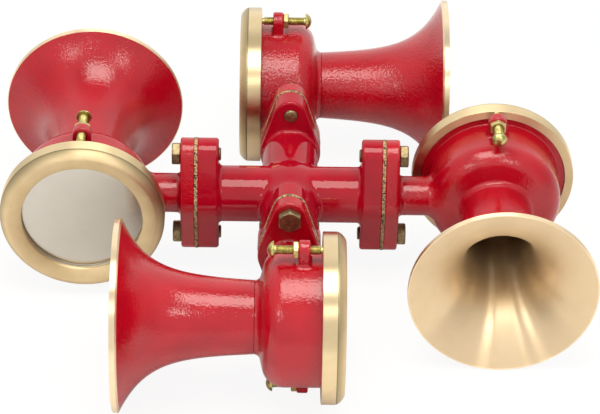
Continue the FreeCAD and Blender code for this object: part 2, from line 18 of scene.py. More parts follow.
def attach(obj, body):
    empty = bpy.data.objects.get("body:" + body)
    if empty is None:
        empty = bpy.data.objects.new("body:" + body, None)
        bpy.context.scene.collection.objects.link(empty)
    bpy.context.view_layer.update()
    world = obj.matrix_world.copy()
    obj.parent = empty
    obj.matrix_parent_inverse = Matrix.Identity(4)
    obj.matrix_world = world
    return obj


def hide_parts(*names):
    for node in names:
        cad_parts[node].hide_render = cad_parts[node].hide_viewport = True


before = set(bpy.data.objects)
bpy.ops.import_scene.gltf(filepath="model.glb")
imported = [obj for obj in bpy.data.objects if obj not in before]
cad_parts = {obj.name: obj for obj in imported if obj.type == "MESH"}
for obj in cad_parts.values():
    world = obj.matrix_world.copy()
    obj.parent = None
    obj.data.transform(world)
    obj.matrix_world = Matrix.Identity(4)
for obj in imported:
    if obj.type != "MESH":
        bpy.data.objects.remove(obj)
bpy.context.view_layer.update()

# %% [markdown]
# ## Where the horns stand
#
# The four horns are one horn, placed four times. So every piece of a horn is worked out once, in
# millimetres, in the horn's own frame: x runs along the trumpet towards its mouth, y runs away
# from the manifold, and z is up. One function then turns and moves the points to a side of the
# manifold and makes them metres. The finished objects stay unturned at the origin, because their
# materials read Object coordinates.

# %% Sides of the manifold
MM = 0.001
SIDES = {"far": 0, "left": 90, "near": 180, "right": 270}
ENDS = {"upper": 1, "lower": -1}
HORN_OFFSET = 179.0
AXIS_RISE = 80.0
print("sides", SIDES, "ends", ENDS)

# %% [markdown]
# ## The camera
#
# The photograph looks down on the cluster at about 35 degrees, from far off with a long lens.
# The camera was fitted to the outlines of the bells, rings and flanges: its direction, its
# distance, a small roll, and the place in the picture that the manifold's centre falls on. The
# last gives the lens shift.

# %% Camera
PICTURE_WIDE, PICTURE_HIGH = 600, 414
CENTRE_PIXEL = (289.72, 194.04)
VIEW_YAW, VIEW_ELEVATION, VIEW_ROLL = -0.175, 34.546, 0.864
VIEW_DISTANCE = 2.426
FOCAL_PIXELS = 2772.3
SENSOR_WIDE = 36.0


def add_object(name, data):
    """An object of this data, in the scene."""
    thing = bpy.data.objects.new(name, data)
    bpy.context.scene.collection.objects.link(thing)
    return thing


def make_camera():
    """Looks along -back from the given distance; roll turns right and up about back."""
    yaw, tilt, roll = (math.radians(a) for a in (VIEW_YAW, VIEW_ELEVATION, VIEW_ROLL))
    back = Vector((math.sin(yaw) * math.cos(tilt), -math.cos(yaw) * math.cos(tilt),
                   math.sin(tilt)))
    right = Vector((math.cos(yaw), math.sin(yaw), 0))
    up = back.cross(right)
    right, up = (math.cos(roll) * right + math.sin(roll) * up,
                 math.cos(roll) * up - math.sin(roll) * right)
    data = bpy.data.cameras.new("camera")
    data.sensor_width = SENSOR_WIDE
    data.lens = FOCAL_PIXELS * SENSOR_WIDE / PICTURE_WIDE
    data.shift_x = (PICTURE_WIDE / 2 - CENTRE_PIXEL[0]) / PICTURE_WIDE
    data.shift_y = (CENTRE_PIXEL[1] - PICTURE_HIGH / 2) / PICTURE_WIDE
    camera = add_object("camera", data)
    place = Vector((0, 0, AXIS_RISE * MM)) + back * VIEW_DISTANCE
    turned = Matrix((right, up, back)).transposed().to_4x4()
    camera.matrix_world = Matrix.Translation(place) @ turned
    bpy.context.scene.camera = camera
    print("lens", round(data.lens, 1), "mm, shift", round(data.shift_x, 4), round(data.shift_y, 4))


make_camera()

# %% [markdown]
# ## How materials are put together
#
# Every finish here is a Principled shader with a few texture nodes that read Object coordinates,
# in metres. Small helpers keep the recipes short: one makes noise of a given grain, one
# stretches a value over another range, one mixes two colours by a share, and one turns a
# texture into bump of a real depth.

# %% Helpers for materials
def new_finish(name, **sockets):
    """A material whose Principled shader has these socket values."""
    material = bpy.data.materials.new(name)
    material.use_nodes = True
    shader = material.node_tree.nodes["Principled BSDF"]
    for socket, value in sockets.items():
        shader.inputs[socket.replace("_", " ")].default_value = value
    return material, material.node_tree.nodes, material.node_tree.links, shader


def noise(nodes, links, grain_mm, detail=3.0, roughness=0.5):
    """Noise over Object coordinates whose features are about grain_mm across, from 0 to 1."""
    where = nodes.new("ShaderNodeTexCoord")
    texture = nodes.new("ShaderNodeTexNoise")
    texture.inputs["Scale"].default_value = 1 / (grain_mm * MM)
    texture.inputs["Detail"].default_value = detail
    texture.inputs["Roughness"].default_value = roughness
    links.new(where.outputs["Object"], texture.inputs["Vector"])
    return texture.outputs["Fac"]


def spread(nodes, links, value, low, high, to_low=0.0, to_high=1.0, smooth=False):
    """Stretches the part of a value between low and high over another range, evenly or with
    soft ends."""
    node = nodes.new("ShaderNodeMapRange")
    node.interpolation_type = "SMOOTHSTEP" if smooth else "LINEAR"
    for socket, number in zip(("From Min", "From Max", "To Min", "To Max"),
                              (low, high, to_low, to_high)):
        node.inputs[socket].default_value = number
    links.new(value, node.inputs["Value"])
    return node.outputs["Result"]


def product(nodes, links, first, second):
    """One value times another. The second may be a plain number."""
    node = nodes.new("ShaderNodeMath")
    node.operation = "MULTIPLY"
    links.new(first, node.inputs[0])
    if isinstance(second, float):
        node.inputs[1].default_value = second
    else:
        links.new(second, node.inputs[1])
    return node.outputs[0]


def mixed_colour(nodes, links, share, first, second):
    """A colour between two, by a share. Each of the two is a colour or another node's output."""
    node = nodes.new("ShaderNodeMix")
    node.data_type = "RGBA"
    links.new(share, node.inputs["Factor"])
    for socket, colour in zip(("A", "B"), (first, second)):
        target = next(s for s in node.inputs if s.name == socket and s.type == "RGBA")
        if isinstance(colour, tuple):
            target.default_value = (*colour, 1)
        else:
            links.new(colour, target)
    return next(s for s in node.outputs if s.type == "RGBA")


def bump(nodes, links, height, depth_mm, below=None):
    """Bump of a real depth, on top of another bump's normal."""
    node = nodes.new("ShaderNodeBump")
    node.inputs["Distance"].default_value = depth_mm * MM
    links.new(height, node.inputs["Height"])
    if below is not None:
        links.new(below, node.inputs["Normal"])
    return node.outputs["Normal"]


# %% [markdown]
# ## Light and floor
#
# The object stood in a white studio under a wide soft lamp. The paint shows one long pale
# highlight on each round form, and the place of that highlight on the near and the far horn gives
# the lamp's height and its two long edges. Small spots on the left bell show small lamps in
# front. The bells reflect a room that is bright almost evenly, a little dimmer to the sides and
# overhead. So there is one large lamp overhead, a little towards the camera, three small ones in
# front, and a world whose strength depends on the direction. The floor is pale. To the camera
# most of its light is plain white, and the rest keeps the shadow.

# %% Lamps
# Each lamp's place, the point that it faces, its width and depth in metres, its power in watts.
LAMPS = {
    "top": ((0, -0.315, 1.26), (0, -0.315, 0), (0.86, 0.67), 12.6),
    "left": ((-1.02, -1.35, 1.27), (0, 0, 0.08), (0.3, 0.3), 3),
    "middle": ((-0.4, -1.5, 1.2), (0, 0, 0.08), (0.1, 0.1), 0.6),
    "right": ((0.7, -1.21, 1.22), (0, 0, 0.08), (0.3, 0.3), 3),
}
LAMP_COLOUR = (1.0, 0.97, 0.90)


def add_lamp(name, place, aim, size, power):
    """An area lamp at a place, turned to face a point."""
    data = bpy.data.lights.new(name, "AREA")
    data.shape = "RECTANGLE"
    data.size, data.size_y = size
    data.energy = power
    data.color = LAMP_COLOUR
    lamp = add_object(name, data)
    lamp.location = place
    lamp.rotation_euler = (Vector(aim) - Vector(place)).to_track_quat("-Z", "Y").to_euler()


for name, values in LAMPS.items():
    add_lamp(name, *values)
print("lamps", list(LAMPS))

# %% World
# Each fade runs between two values of a direction's x squared, y or z, and from one strength to
# another.
WORLD_FADES = {
    "sides": (0.3, 0.9, 1.0, 0.6),
    "along": (-0.5, 0.5, 1.12, 1.3),
    "top": (0.75, 0.97, 1.0, 0.5),
}
WORLD_COLOUR = (1.0, 0.98, 0.94, 1)


def add_world():
    """Its strength is a product of three fades: by x squared to the sides, by y from front to
    back, and by z to the top."""
    world = bpy.data.worlds.new("studio")
    world.use_nodes = True
    nodes, links = world.node_tree.nodes, world.node_tree.links
    where = nodes.new("ShaderNodeTexCoord")
    parts = nodes.new("ShaderNodeSeparateXYZ")
    links.new(where.outputs["Generated"], parts.inputs[0])
    x, y, z = (parts.outputs[axis] for axis in "XYZ")
    squared = product(nodes, links, x, x)
    sides = spread(nodes, links, squared, *WORLD_FADES["sides"], smooth=True)
    along = spread(nodes, links, y, *WORLD_FADES["along"], smooth=True)
    top = spread(nodes, links, z, *WORLD_FADES["top"], smooth=True)
    strength = product(nodes, links, product(nodes, links, sides, along), top)
    links.new(strength, nodes["Background"].inputs["Strength"])
    nodes["Background"].inputs["Color"].default_value = WORLD_COLOUR
    bpy.context.scene.world = world


add_world()
print("world", WORLD_FADES)

# %% Floor
FLOOR_SIZE = 12.0
FLOOR_COLOUR = (0.80, 0.80, 0.80, 1)
FLOOR_WHITE_SHARE = 0.9


def add_floor():
    """A pale sheet. To the camera it is mostly plain white, so its shadows come out faint."""
    half = FLOOR_SIZE / 2
    mesh = bpy.data.meshes.new("floor")
    mesh.from_pydata([(-half, -half, 0), (half, -half, 0), (half, half, 0), (-half, half, 0)],
                     [], [(0, 1, 2, 3)])
    floor = add_object("floor", mesh)
    material, nodes, links, matt = new_finish(
        "floor", Base_Color=FLOOR_COLOUR, Roughness=0.9, Specular_IOR_Level=0.1)
    white = nodes.new("ShaderNodeEmission")
    ray = nodes.new("ShaderNodeLightPath")
    share = product(nodes, links, ray.outputs["Is Camera Ray"], FLOOR_WHITE_SHARE)
    mix = nodes.new("ShaderNodeMixShader")
    links.new(share, mix.inputs[0])
    links.new(matt.outputs[0], mix.inputs[1])
    links.new(white.outputs[0], mix.inputs[2])
    links.new(mix.outputs[0], nodes["Material Output"].inputs["Surface"])
    mesh.materials.append(material)


add_floor()
bpy.context.scene.view_settings.view_transform = "Standard"
print("floor", FLOOR_SIZE, "m wide,", FLOOR_WHITE_SHARE, "of it plain white to the camera")

# %% [markdown]
# ## Red paint
#
# The castings were sand cast and painted by brush in a deep red gloss. On the horns the sand's
# grain still shows. It is coarse on the far horn, where it breaks up every highlight into small
# sparkles, and finer on the others. The manifold's paint is thicker and a little less glossy. It
# hides the grain, so the highlights are long and clean, and its red is deeper. The gloss is the
# shader's clear coat alone: a second gloss below it would lay a pink haze over the red. The grain
# is bump at two sizes, because a single noise looks like plastic.

# %% Paint
CLOUD_MM, CLOUD_SPAN = 28, (0.35, 0.7)
SWELL_MM = 9


def make_paint(name, red, deep_red, swell_depth, grain_mm, grain_depth, coat):
    """Gloss paint: two reds in soft clouds under a clear coat, over the grain of the casting."""
    material, nodes, links, shader = new_finish(
        name, Roughness=0.6, Specular_IOR_Level=0.0, Coat_Weight=coat, Coat_Roughness=0.04)
    clouds = spread(nodes, links, noise(nodes, links, CLOUD_MM, 2), *CLOUD_SPAN)
    colour = mixed_colour(nodes, links, clouds, red, deep_red)
    links.new(colour, shader.inputs["Base Color"])
    swell = bump(nodes, links, noise(nodes, links, SWELL_MM, 2), swell_depth)
    grain = bump(nodes, links, noise(nodes, links, grain_mm, 2), grain_depth, swell)
    links.new(grain, shader.inputs["Normal"])
    links.new(grain, shader.inputs["Coat Normal"])
    return material


REDS = (0.36, 0.001, 0.009), (0.30, 0.001, 0.008)
DEEP_REDS = (0.32, 0.001, 0.011), (0.26, 0.001, 0.010)
fine_paint = make_paint("fine_paint", *REDS, swell_depth=0.15, grain_mm=1.9, grain_depth=0.28,
                        coat=1.0)
sandy_paint = make_paint("sandy_paint", *REDS, swell_depth=0.15, grain_mm=2.1, grain_depth=0.52,
                         coat=1.0)
manifold_paint = make_paint("manifold_paint", *DEEP_REDS, swell_depth=0.14, grain_mm=1.9,
                            grain_depth=0.06, coat=0.7)
horn_paints = {"far": sandy_paint, "left": fine_paint, "near": fine_paint, "right": fine_paint}
print("paints", {side: paint.name for side, paint in horn_paints.items()}, manifold_paint.name)

# %% [markdown]
# ## Turned brass
#
# The bells, their rims and the clamp rings came off a lathe. The tool leaves fine rings round
# the axis, and they smear each reflection outwards into the pale rays that the bells show. That
# is anisotropic gloss, and it needs the direction of the rings. Each turned piece has a UV map
# with u round the axis and v along the profile in metres, so the tangent follows u, and a noise
# that reads v alone draws the lathe's rings. The bells' rims are the brightest brass and the clamp
# rings' fronts the dullest. The diaphragms are steel, turned and ground almost smooth.

# %% Turned metals
TURNED_MAP = "turned"
SHADE_MM, SHADE_SPAN = 16, (0.4, 0.75)


def along_profile(nodes, links):
    """The map's v: the length along the profile in metres."""
    turned_map = nodes.new("ShaderNodeUVMap")
    turned_map.uv_map = TURNED_MAP
    parts = nodes.new("ShaderNodeSeparateXYZ")
    links.new(turned_map.outputs["UV"], parts.inputs[0])
    return parts.outputs["Y"]


def make_turned(name, colour, shade, roughness, anisotropic, ring_mm, ring_depth, coat=0.0):
    """Metal with lathe rings: noise along the profile for bump, clouds for the colour, and gloss
    turned by a quarter, so that it smears across the rings."""
    material, nodes, links, shader = new_finish(
        name, Metallic=1.0, Roughness=roughness, Anisotropic=anisotropic,
        Anisotropic_Rotation=0.25, Coat_Weight=coat, Coat_Roughness=0.25)
    clouds = spread(nodes, links, noise(nodes, links, SHADE_MM, 3, 0.6), *SHADE_SPAN)
    links.new(mixed_colour(nodes, links, clouds, colour, shade), shader.inputs["Base Color"])
    rings = nodes.new("ShaderNodeTexNoise")
    rings.noise_dimensions = "1D"
    rings.inputs["Scale"].default_value = 1 / (ring_mm * MM)
    rings.inputs["Detail"].default_value = 4
    links.new(along_profile(nodes, links), rings.inputs["W"])
    links.new(bump(nodes, links, rings.outputs["Fac"], ring_depth), shader.inputs["Normal"])
    tangent = nodes.new("ShaderNodeTangent")
    tangent.direction_type = "UV_MAP"
    tangent.uv_map = TURNED_MAP
    links.new(tangent.outputs[0], shader.inputs["Tangent"])
    return material


bell_brass = make_turned(
    "bell_brass", (0.69, 0.53, 0.34), (0.66, 0.50, 0.31),
    roughness=0.30, anisotropic=1.0, ring_mm=0.5, ring_depth=0.004, coat=0.4)
rim_brass = make_turned(
    "rim_brass", (0.88, 0.71, 0.48), (0.83, 0.66, 0.43),
    roughness=0.36, anisotropic=1.0, ring_mm=0.5, ring_depth=0.004, coat=0.2)
ring_brass = make_turned(
    "ring_brass", (0.73, 0.58, 0.35), (0.67, 0.53, 0.31),
    roughness=0.38, anisotropic=0.95, ring_mm=0.9, ring_depth=0.006, coat=0.1)
face_brass = make_turned(
    "face_brass", (0.65, 0.51, 0.31), (0.59, 0.45, 0.255),
    roughness=0.5, anisotropic=0.6, ring_mm=0.9, ring_depth=0.006, coat=0.1)
disc_steel = make_turned(
    "disc_steel", (0.515, 0.485, 0.44), (0.49, 0.463, 0.42),
    roughness=0.20, anisotropic=0.2, ring_mm=1.5, ring_depth=0.001)
turned_metals = (bell_brass, rim_brass, ring_brass, face_brass, disc_steel)
print("turned metals", [metal.name for metal in turned_metals])

# %% [markdown]
# ## Screws, bolts, gaskets
#
# The lock screws and their nuts are yellow passivated zinc, whose film shifts from gold to
# green; the nuts are paler. The flange bolts and the inlet bush are plain brass that has gone
# dull and brown. The slip rings are steel, painted paler than steel is: painted light that
# lifts the shade in the gap behind the clamp rings' lips. The gaskets are pressed fibre, torn
# rough at the edge, and the seals are black rubber. None of these shows a lathe's rings from a
# step away, so blotches of two colours are enough.

# %% Finishes of the small pieces
BLOTCH_SPAN, SPECK_SPAN = (0.4, 0.65), (0.42, 0.58)
SCUFF_DEPTH = 0.02


def make_plain_metal(name, bright, dull, roughness, grain_mm):
    """Metal with blotches between two colours."""
    material, nodes, links, shader = new_finish(name, Metallic=1.0, Roughness=roughness)
    blotches = spread(nodes, links, noise(nodes, links, grain_mm, 4, 0.6), *BLOTCH_SPAN)
    links.new(mixed_colour(nodes, links, blotches, bright, dull), shader.inputs["Base Color"])
    scuffs = noise(nodes, links, grain_mm / 4, 3)
    links.new(bump(nodes, links, scuffs, SCUFF_DEPTH), shader.inputs["Normal"])
    return material


def make_matt(name, dark, pale, grain_mm, depth):
    """Fibre or rubber: dark and pale specks with a grain of some depth."""
    material, nodes, links, shader = new_finish(name, Roughness=0.85)
    specks = noise(nodes, links, grain_mm, 4, 0.7)
    share = spread(nodes, links, specks, *SPECK_SPAN)
    links.new(mixed_colour(nodes, links, share, dark, pale), shader.inputs["Base Color"])
    links.new(bump(nodes, links, specks, depth), shader.inputs["Normal"])
    return material


yellow_zinc = make_plain_metal("yellow_zinc", (0.55, 0.48, 0.19), (0.31, 0.28, 0.10),
                               roughness=0.28, grain_mm=3)
pale_zinc = make_plain_metal("pale_zinc", (0.60, 0.49, 0.22), (0.40, 0.33, 0.13),
                             roughness=0.4, grain_mm=3)
bolt_brass = make_plain_metal("bolt_brass", (0.31, 0.245, 0.13), (0.17, 0.13, 0.07),
                              roughness=0.45, grain_mm=4)
# Painted light: paler than steel, to lift the shade in the gap behind the clamp rings' lips.
slip_steel_painted_pale = make_plain_metal("slip_steel_painted_pale", (0.80, 0.77, 0.70), (0.66, 0.63, 0.56),
                              roughness=0.5, grain_mm=6)
gasket_fibre = make_matt("gasket_fibre", (0.03, 0.018, 0.012), (0.50, 0.33, 0.16),
                         grain_mm=2.0, depth=0.5)
seal_rubber = make_matt("seal_rubber", (0.022, 0.022, 0.022), (0.045, 0.045, 0.045),
                        grain_mm=2.5, depth=0.03)
small_finishes = (yellow_zinc, pale_zinc, bolt_brass, slip_steel_painted_pale, gasket_fibre, seal_rubber)
print("small finishes", [finish.name for finish in small_finishes])

# %% [markdown]
# ## From numpy arrays to a piece
#
# Each shape below is worked out as whole arrays: points, and faces as rows of point numbers. One
# function puts them into a mesh. It turns the faces outwards if the volume that they enclose
# comes out negative, and stores a normal at each point. A casting's normals come from its field.
# Elsewhere a point's normal is the sum of its faces' normals by area, so that flats stay flat
# beside small rounds.

# %% Places and normals
NEAR_ZERO, LEAST_LENGTH = 1e-9, 1e-12


def to_row(points, side, turn_only=False):
    """Turns points about z by the side's angle, then moves them out from the manifold and up.

    With c and s the angle's cosine and sine, (x, y, z) goes to (c x - s y, s x + c y, z).
    """
    c, s, out = 1, 0, 0.0
    if side:
        angle = math.radians(SIDES[side])
        c, s, out = round(math.cos(angle)), round(math.sin(angle)), HORN_OFFSET
    x, y, z = points.T
    turned_points = np.column_stack((c * x - s * y, s * x + c * y, z))
    if turn_only:
        return turned_points
    return MM * (turned_points + np.array([-out * s, out * c, AXIS_RISE]))


def face_normals(points, corners):
    """The cross product of a face's diagonals, or a triangle's sides: its normal by area."""
    a, b, c = (points[corners[:, i]] for i in (0, 1, 2))
    d = points[corners[:, 3]] if corners.shape[1] == 4 else a
    return np.cross(c - a, d - b)


def point_normals(points, faces):
    """Each point's normal is the sum of its faces' normals, so large flats stay flat."""
    total = np.zeros_like(points)
    for corners in faces:
        across = face_normals(points, corners)
        for i in range(corners.shape[1]):
            np.add.at(total, corners[:, i], across)
    return total / np.maximum(np.linalg.norm(total, axis=1, keepdims=True), LEAST_LENGTH)


def volume(points, faces):
    """A third of the sum of each face's area normal times its place, positive if they face out."""
    return sum(np.einsum("ij,ij->", face_normals(points, f), points[f[:, 0]]) for f in faces) / 6


# %% One piece from its arrays
def make_piece(name, shape, side, body, materials, replaces, which=None):
    """Puts points and faces into a mesh, gives it its finish and lets it ride on its body."""
    points, faces, maps, normals = (*shape, None, None)[:4]
    if volume(points, faces) < 0:
        faces = [f[:, ::-1] for f in faces]
        maps = [m[:, ::-1] for m in maps] if maps else None
    mesh = bpy.data.meshes.new(name)
    placed = to_row(points, side)
    mesh.vertices.add(len(placed))
    mesh.vertices.foreach_set("co", placed.astype(np.float32).ravel())
    corners = np.concatenate([f.ravel() for f in faces]).astype(np.int32)
    sizes = np.concatenate([np.full(len(f), f.shape[1]) for f in faces])
    mesh.loops.add(len(corners))
    mesh.loops.foreach_set("vertex_index", corners)
    mesh.polygons.add(len(sizes))
    starts = np.concatenate(([0], np.cumsum(sizes)[:-1])).astype(np.int32)
    mesh.polygons.foreach_set("loop_start", starts)
    mesh.update(calc_edges=True)
    if maps:
        layer = mesh.uv_layers.new(name=TURNED_MAP)
        uv = np.concatenate([m.reshape(-1, 2) for m in maps])
        layer.data.foreach_set("uv", uv.astype(np.float32).ravel())
    for material in materials:
        mesh.materials.append(material)
    if which is not None:
        chosen = np.concatenate([np.full(len(f), w) for f, w in zip(faces, which)])
        mesh.polygons.foreach_set("material_index", chosen.astype(np.int32))
    mesh.shade_smooth()
    if normals is None:
        normals = point_normals(points, faces)
    mesh.normals_split_custom_set_from_vertices(to_row(normals, side, turn_only=True))
    piece = add_object(name, mesh)
    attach(piece, body)
    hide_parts(*replaces)


def triangles(faces):
    """How many triangles a shape's faces make."""
    return sum(len(f) * (f.shape[1] - 2) for f in faces)


# %% [markdown]
# ## Turned forms
#
# Bells, rings, discs, screws, nuts and bolts all come from one idea. A profile, a row of points
# (along, radius), is carried round an axis in steps. A profile that comes back to its start makes
# a ring. One that starts and ends on the axis makes a closed bar, with triangles at its two
# poles. A shape function may change the radius with the angle: a hexagon cuts it down to its
# flats, and a thread makes it rise and fall along a helix.

# %% Profiles with rounded corners
ROUND_STEPS = 4


def rounded(corners):
    """Replaces each corner (along, radius, round) by a curve that starts and ends `round` away.

    The curve is (a (1-t)^2 + 2 w c t (1-t) + b t^2) / ((1-t)^2 + 2 w t (1-t) + t^2) with
    w = cos(turn / 2), which is a true arc from a to b that touches both sides of corner c.
    """
    path = []
    for i, (x, r, size) in enumerate(corners):
        corner = np.array([x, r], float)
        if not size:
            path.append(corner)
            continue
        others = [np.array(corners[(i + k) % len(corners)][:2], float) - corner for k in (-1, 1)]
        before, after = (way / np.linalg.norm(way) for way in others)
        start, end = corner + size * before, corner + size * after
        weight = math.sqrt(max(0.0, (1 - before @ after) / 2))
        for t in np.linspace(0, 1, ROUND_STEPS + 1):
            shares = np.array([(1 - t) ** 2, 2 * weight * t * (1 - t), t ** 2])
            path.append(shares @ np.array([start, corner, end]) / shares.sum())
    return np.array(path)


def lengths_along(profile):
    """The length from a profile's first point to each of its points, in metres."""
    steps = np.linalg.norm(np.diff(profile, axis=0, prepend=profile[:1]), axis=1)
    return np.cumsum(steps) * MM


# %% Turning a profile
WHOLE_TURN = 2 * math.pi


def even_angles(count):
    """Angles of equal steps round a whole turn."""
    return np.arange(count) * WHOLE_TURN / count


def turn(profile, angles, closed=False, shape=None, along_y=None):
    """Carries a profile round the x axis, or round a line along y if along_y gives its z.

    A point at (along, r, a) is (along, r cos a, r sin a). For the map, u is the share of a turn
    and v is the length along the profile in metres.
    """
    count, rows = len(angles), len(profile)
    pole = profile[:, 1] < NEAR_ZERO
    first = np.concatenate(([0], np.cumsum(np.where(pole, 1, count))[:-1]))
    points = []
    for (x, r), single in zip(profile, pole):
        a = angles[:1] if single else angles
        radius = np.full(len(a), r) if shape is None or single else shape(x, r, a)
        along = np.full(len(a), x)
        points.append(np.column_stack((along, radius * np.cos(a), radius * np.sin(a))))
    points = np.concatenate(points)
    steps = np.linalg.norm(np.roll(profile, -1, axis=0) - profile, axis=1) * MM
    v = np.concatenate(([0], np.cumsum(steps)))
    u = np.append(angles, angles[0] + WHOLE_TURN) / WHOLE_TURN
    here = np.arange(count)
    there = (here + 1) % count
    faces, maps = [], []
    for i in range(rows if closed else rows - 1):
        k = (i + 1) % rows
        corners = [(i, here, u[:-1], v[i]), (i, there, u[1:], v[i]),
                   (k, there, u[1:], v[i + 1]), (k, here, u[:-1], v[i + 1])]
        if pole[k]:
            corners.pop(2)
        if pole[i]:
            corners.pop(1)
        faces.append(np.column_stack([first[row] + (0 if pole[row] else 1) * column
                                      for row, column, _, _ in corners]))
        maps.append(np.stack([np.column_stack((share, np.full(count, length)))
                              for _, _, share, length in corners], axis=1))
    if along_y is not None:
        points = np.column_stack((points[:, 1], points[:, 0], points[:, 2] + along_y))
    return points, faces, maps


# %% Hexagons
HEXAGON_SIDE = 60
SIDE_ANGLES = np.array([-30, -28.6, -26.5, -14, 0, 14, 26.5, 28.6])


def hexagon_angles(corner_at):
    """Eight angles a side, close together at the corners, so that the flats shade flat."""
    middles = [corner_at + HEXAGON_SIDE * (k + 0.5) for k in range(6)]
    return np.radians(np.concatenate([middle + SIDE_ANGLES for middle in middles]))


def hexagon(flats, corner_at):
    """Cuts a radius down to a hexagon: r(a) = min(r, (flats / 2) / cos(angle from a side))."""
    def shape(x, r, angle):
        from_side = (np.degrees(angle) - corner_at) % HEXAGON_SIDE - HEXAGON_SIDE / 2
        return np.minimum(r, flats / 2 / np.cos(np.radians(from_side)))
    return shape


# %% [markdown]
# ## Trumpets
#
# A trumpet is a thin wall between two curves. Each curve widens slowly and evenly at first, and
# then exponentially in its last stretch. The outside is painted up to the turned band at the
# mouth. The inside is bare turned brass all the way, bright in the bell. Towards the throat its
# colour darkens, a painted shade for the shade deep in the bore. Its inner end is the seat that
# the diaphragm beats on, deep in the housing.

# %% Flare of a trumpet
WALL_STEPS = 56


def flare(start, end, growth, length):
    """r(t) = r0 + growth t + swell (exp(k (t-1)) - exp(-k)) / (1 - exp(-k)), k = span / length."""
    t = np.sin(math.pi / 2 * np.linspace(0, 1, WALL_STEPS))
    steep = (end[0] - start[0]) / length
    foot = math.exp(-steep)
    rise = (np.exp(steep * (t - 1)) - foot) / (1 - foot)
    radius = start[1] + growth * t + (end[1] - start[1] - growth) * rise
    return np.column_stack((start[0] + (end[0] - start[0]) * t, radius))


# %% Trumpets
BELL_STEPS = 160
SEAT_FACE, SEAT_RADIUS, THROAT_RADIUS = -37, 24, 21
TUBE_RADIUS, SPIGOT_RADIUS, SPIGOT_START, COLLAR_FACE = 25.5, 28, 16.97, 27.97
MOUTH_REACH, MOUTH_RADIUS = 143, 80
BELL_START, BELL_END, BELL_GROWTH, BELL_LENGTH = (28.3, 30.55), (138.2, 79.4), 4.7, 21.8
BORE_START, BORE_END, BORE_GROWTH, BORE_LENGTH = (-36.7, 21.0), (142.7, 78.75), 6, 21
RIM_START, INNER_EDGE, EDGE = (138.25, 79.45), 79.1, 0.3
PAINT_END = {"far": 137.0, "left": 138.1, "near": 137.0, "right": 137.0}
PAINTED, BARE, RIM = 0, 1, 2
BRIGHT_TO, DARK_FROM = 72.0, 40.0
# Painted shade: the brass darkens to this in the throat, for the shade deep in the bore.
THROAT_PAINTED_SHADE = (0.33, 0.195, 0.09)


def trumpet_shape():
    """The profile runs from the seat along the tube's outside to the mouth and back inside.

    Each of its rows has a finish: bare up to the collar, painted, bare again at the rim, and bare
    inside. The painted shade in the throat fades in between two lengths along the profile.
    """
    tube = rounded([(SEAT_FACE, THROAT_RADIUS, EDGE), (SEAT_FACE, SEAT_RADIUS, EDGE),
                    (SEAT_FACE + 2, TUBE_RADIUS, EDGE), (SPIGOT_START, TUBE_RADIUS, EDGE),
                    (SPIGOT_START, SPIGOT_RADIUS, EDGE), (COLLAR_FACE, SPIGOT_RADIUS, 0),
                    (COLLAR_FACE, 30.2, 0)])
    outside = flare(BELL_START, BELL_END, BELL_GROWTH, BELL_LENGTH)
    rim = rounded([(*RIM_START, 0), (138.35, MOUTH_RADIUS, 0.25),
                   (MOUTH_REACH, MOUTH_RADIUS, 0.45), (MOUTH_REACH, 79, 0.35)])
    rim = rim[rim[:, 1] > INNER_EDGE]
    inside = flare(BORE_START, BORE_END, BORE_GROWTH, BORE_LENGTH)[::-1]
    profile = np.concatenate((tube[1:], outside, rim, inside))
    first, mouth = len(tube) - 2, len(profile) - len(inside)
    which = {}
    for side, end in PAINT_END.items():
        last = first + 1 + np.count_nonzero(outside[:, 0] < end)
        which[side] = np.repeat((BARE, PAINTED, RIM, BARE),
                                (first, last - first, mouth - last, len(inside)))
    lengths = lengths_along(profile)[mouth:]
    fade = np.interp([-BRIGHT_TO, -DARK_FROM], -inside[:, 0], lengths)
    return turn(profile, even_angles(BELL_STEPS), closed=True), which, fade


def paint_shade_along(material, colour, start, end, at_start=0.0, at_end=1.0):
    """Mixes a turned metal with a darker colour, a painted shade, by a share that runs between two
    lengths along the profile."""
    nodes, links = material.node_tree.nodes, material.node_tree.links
    socket = nodes["Principled BSDF"].inputs["Base Color"]
    bright = socket.links[0].from_socket
    share = spread(nodes, links, along_profile(nodes, links), start, end, at_start, at_end)
    links.new(mixed_colour(nodes, links, share, bright, colour), socket)


trumpet, trumpet_faces, throat_fade = trumpet_shape()
# The throat's shade is painted into the bell's brass.
paint_shade_along(bell_brass, THROAT_PAINTED_SHADE, *throat_fade)
for side in SIDES:
    make_piece(f"{side}_bell", trumpet, side, "root",
               [horn_paints[side], bell_brass, rim_brass], [f"{side}_trumpet"],
               trumpet_faces[side])
print("trumpet", triangles(trumpet[1]), "triangles, painted in",
      np.count_nonzero(trumpet_faces["near"] == PAINTED), "rows")

# %% [markdown]
# ## Clamp rings and diaphragms
#
# A fine groove parts the ring's rim from its front. The front rounds over and slopes in to a thin
# lip. Next to the groove its brass is painted darker: a painted dark reflection, which dims the
# lamp's highlight on the round. One closed profile holds all of it, so no edge can open. The
# ring turns on its own body. The diaphragm behind it is a thin flat disc of polished metal.

# %% Clamp rings
RING_STEPS = 192
RING_REAR, RING_LEDGE, RING_EDGE, RING_FRONT = -27.35, -40.15, -42.55, -46.55
RING_RADIUS, CROWN_RADIUS, RING_BORE, RING_OPENING = 71.2, 64.2, 63.55, 52.3
RIM_END, GROOVE = -39.25, (-39.6, 70.25)
CORNER_CENTRE, CORNER_ROUND, CORNER_SPAN = (-34.63, 59.28), 12.9, (114.5, 157.6)
FACE_ROUND = 30
RING_SIDE, RING_FACE = 0, 1
# Painted dark reflection: the ring's front darkens to this next to the groove.
EDGE_PAINTED_DARK = (0.26, 0.21, 0.11)


def arc(centre, radius, start, end, steps):
    """Points of an arc between two angles in degrees, as (along, radius)."""
    a = np.radians(np.linspace(start, end, steps))
    return np.array(centre) + radius * np.column_stack((np.cos(a), np.sin(a)))


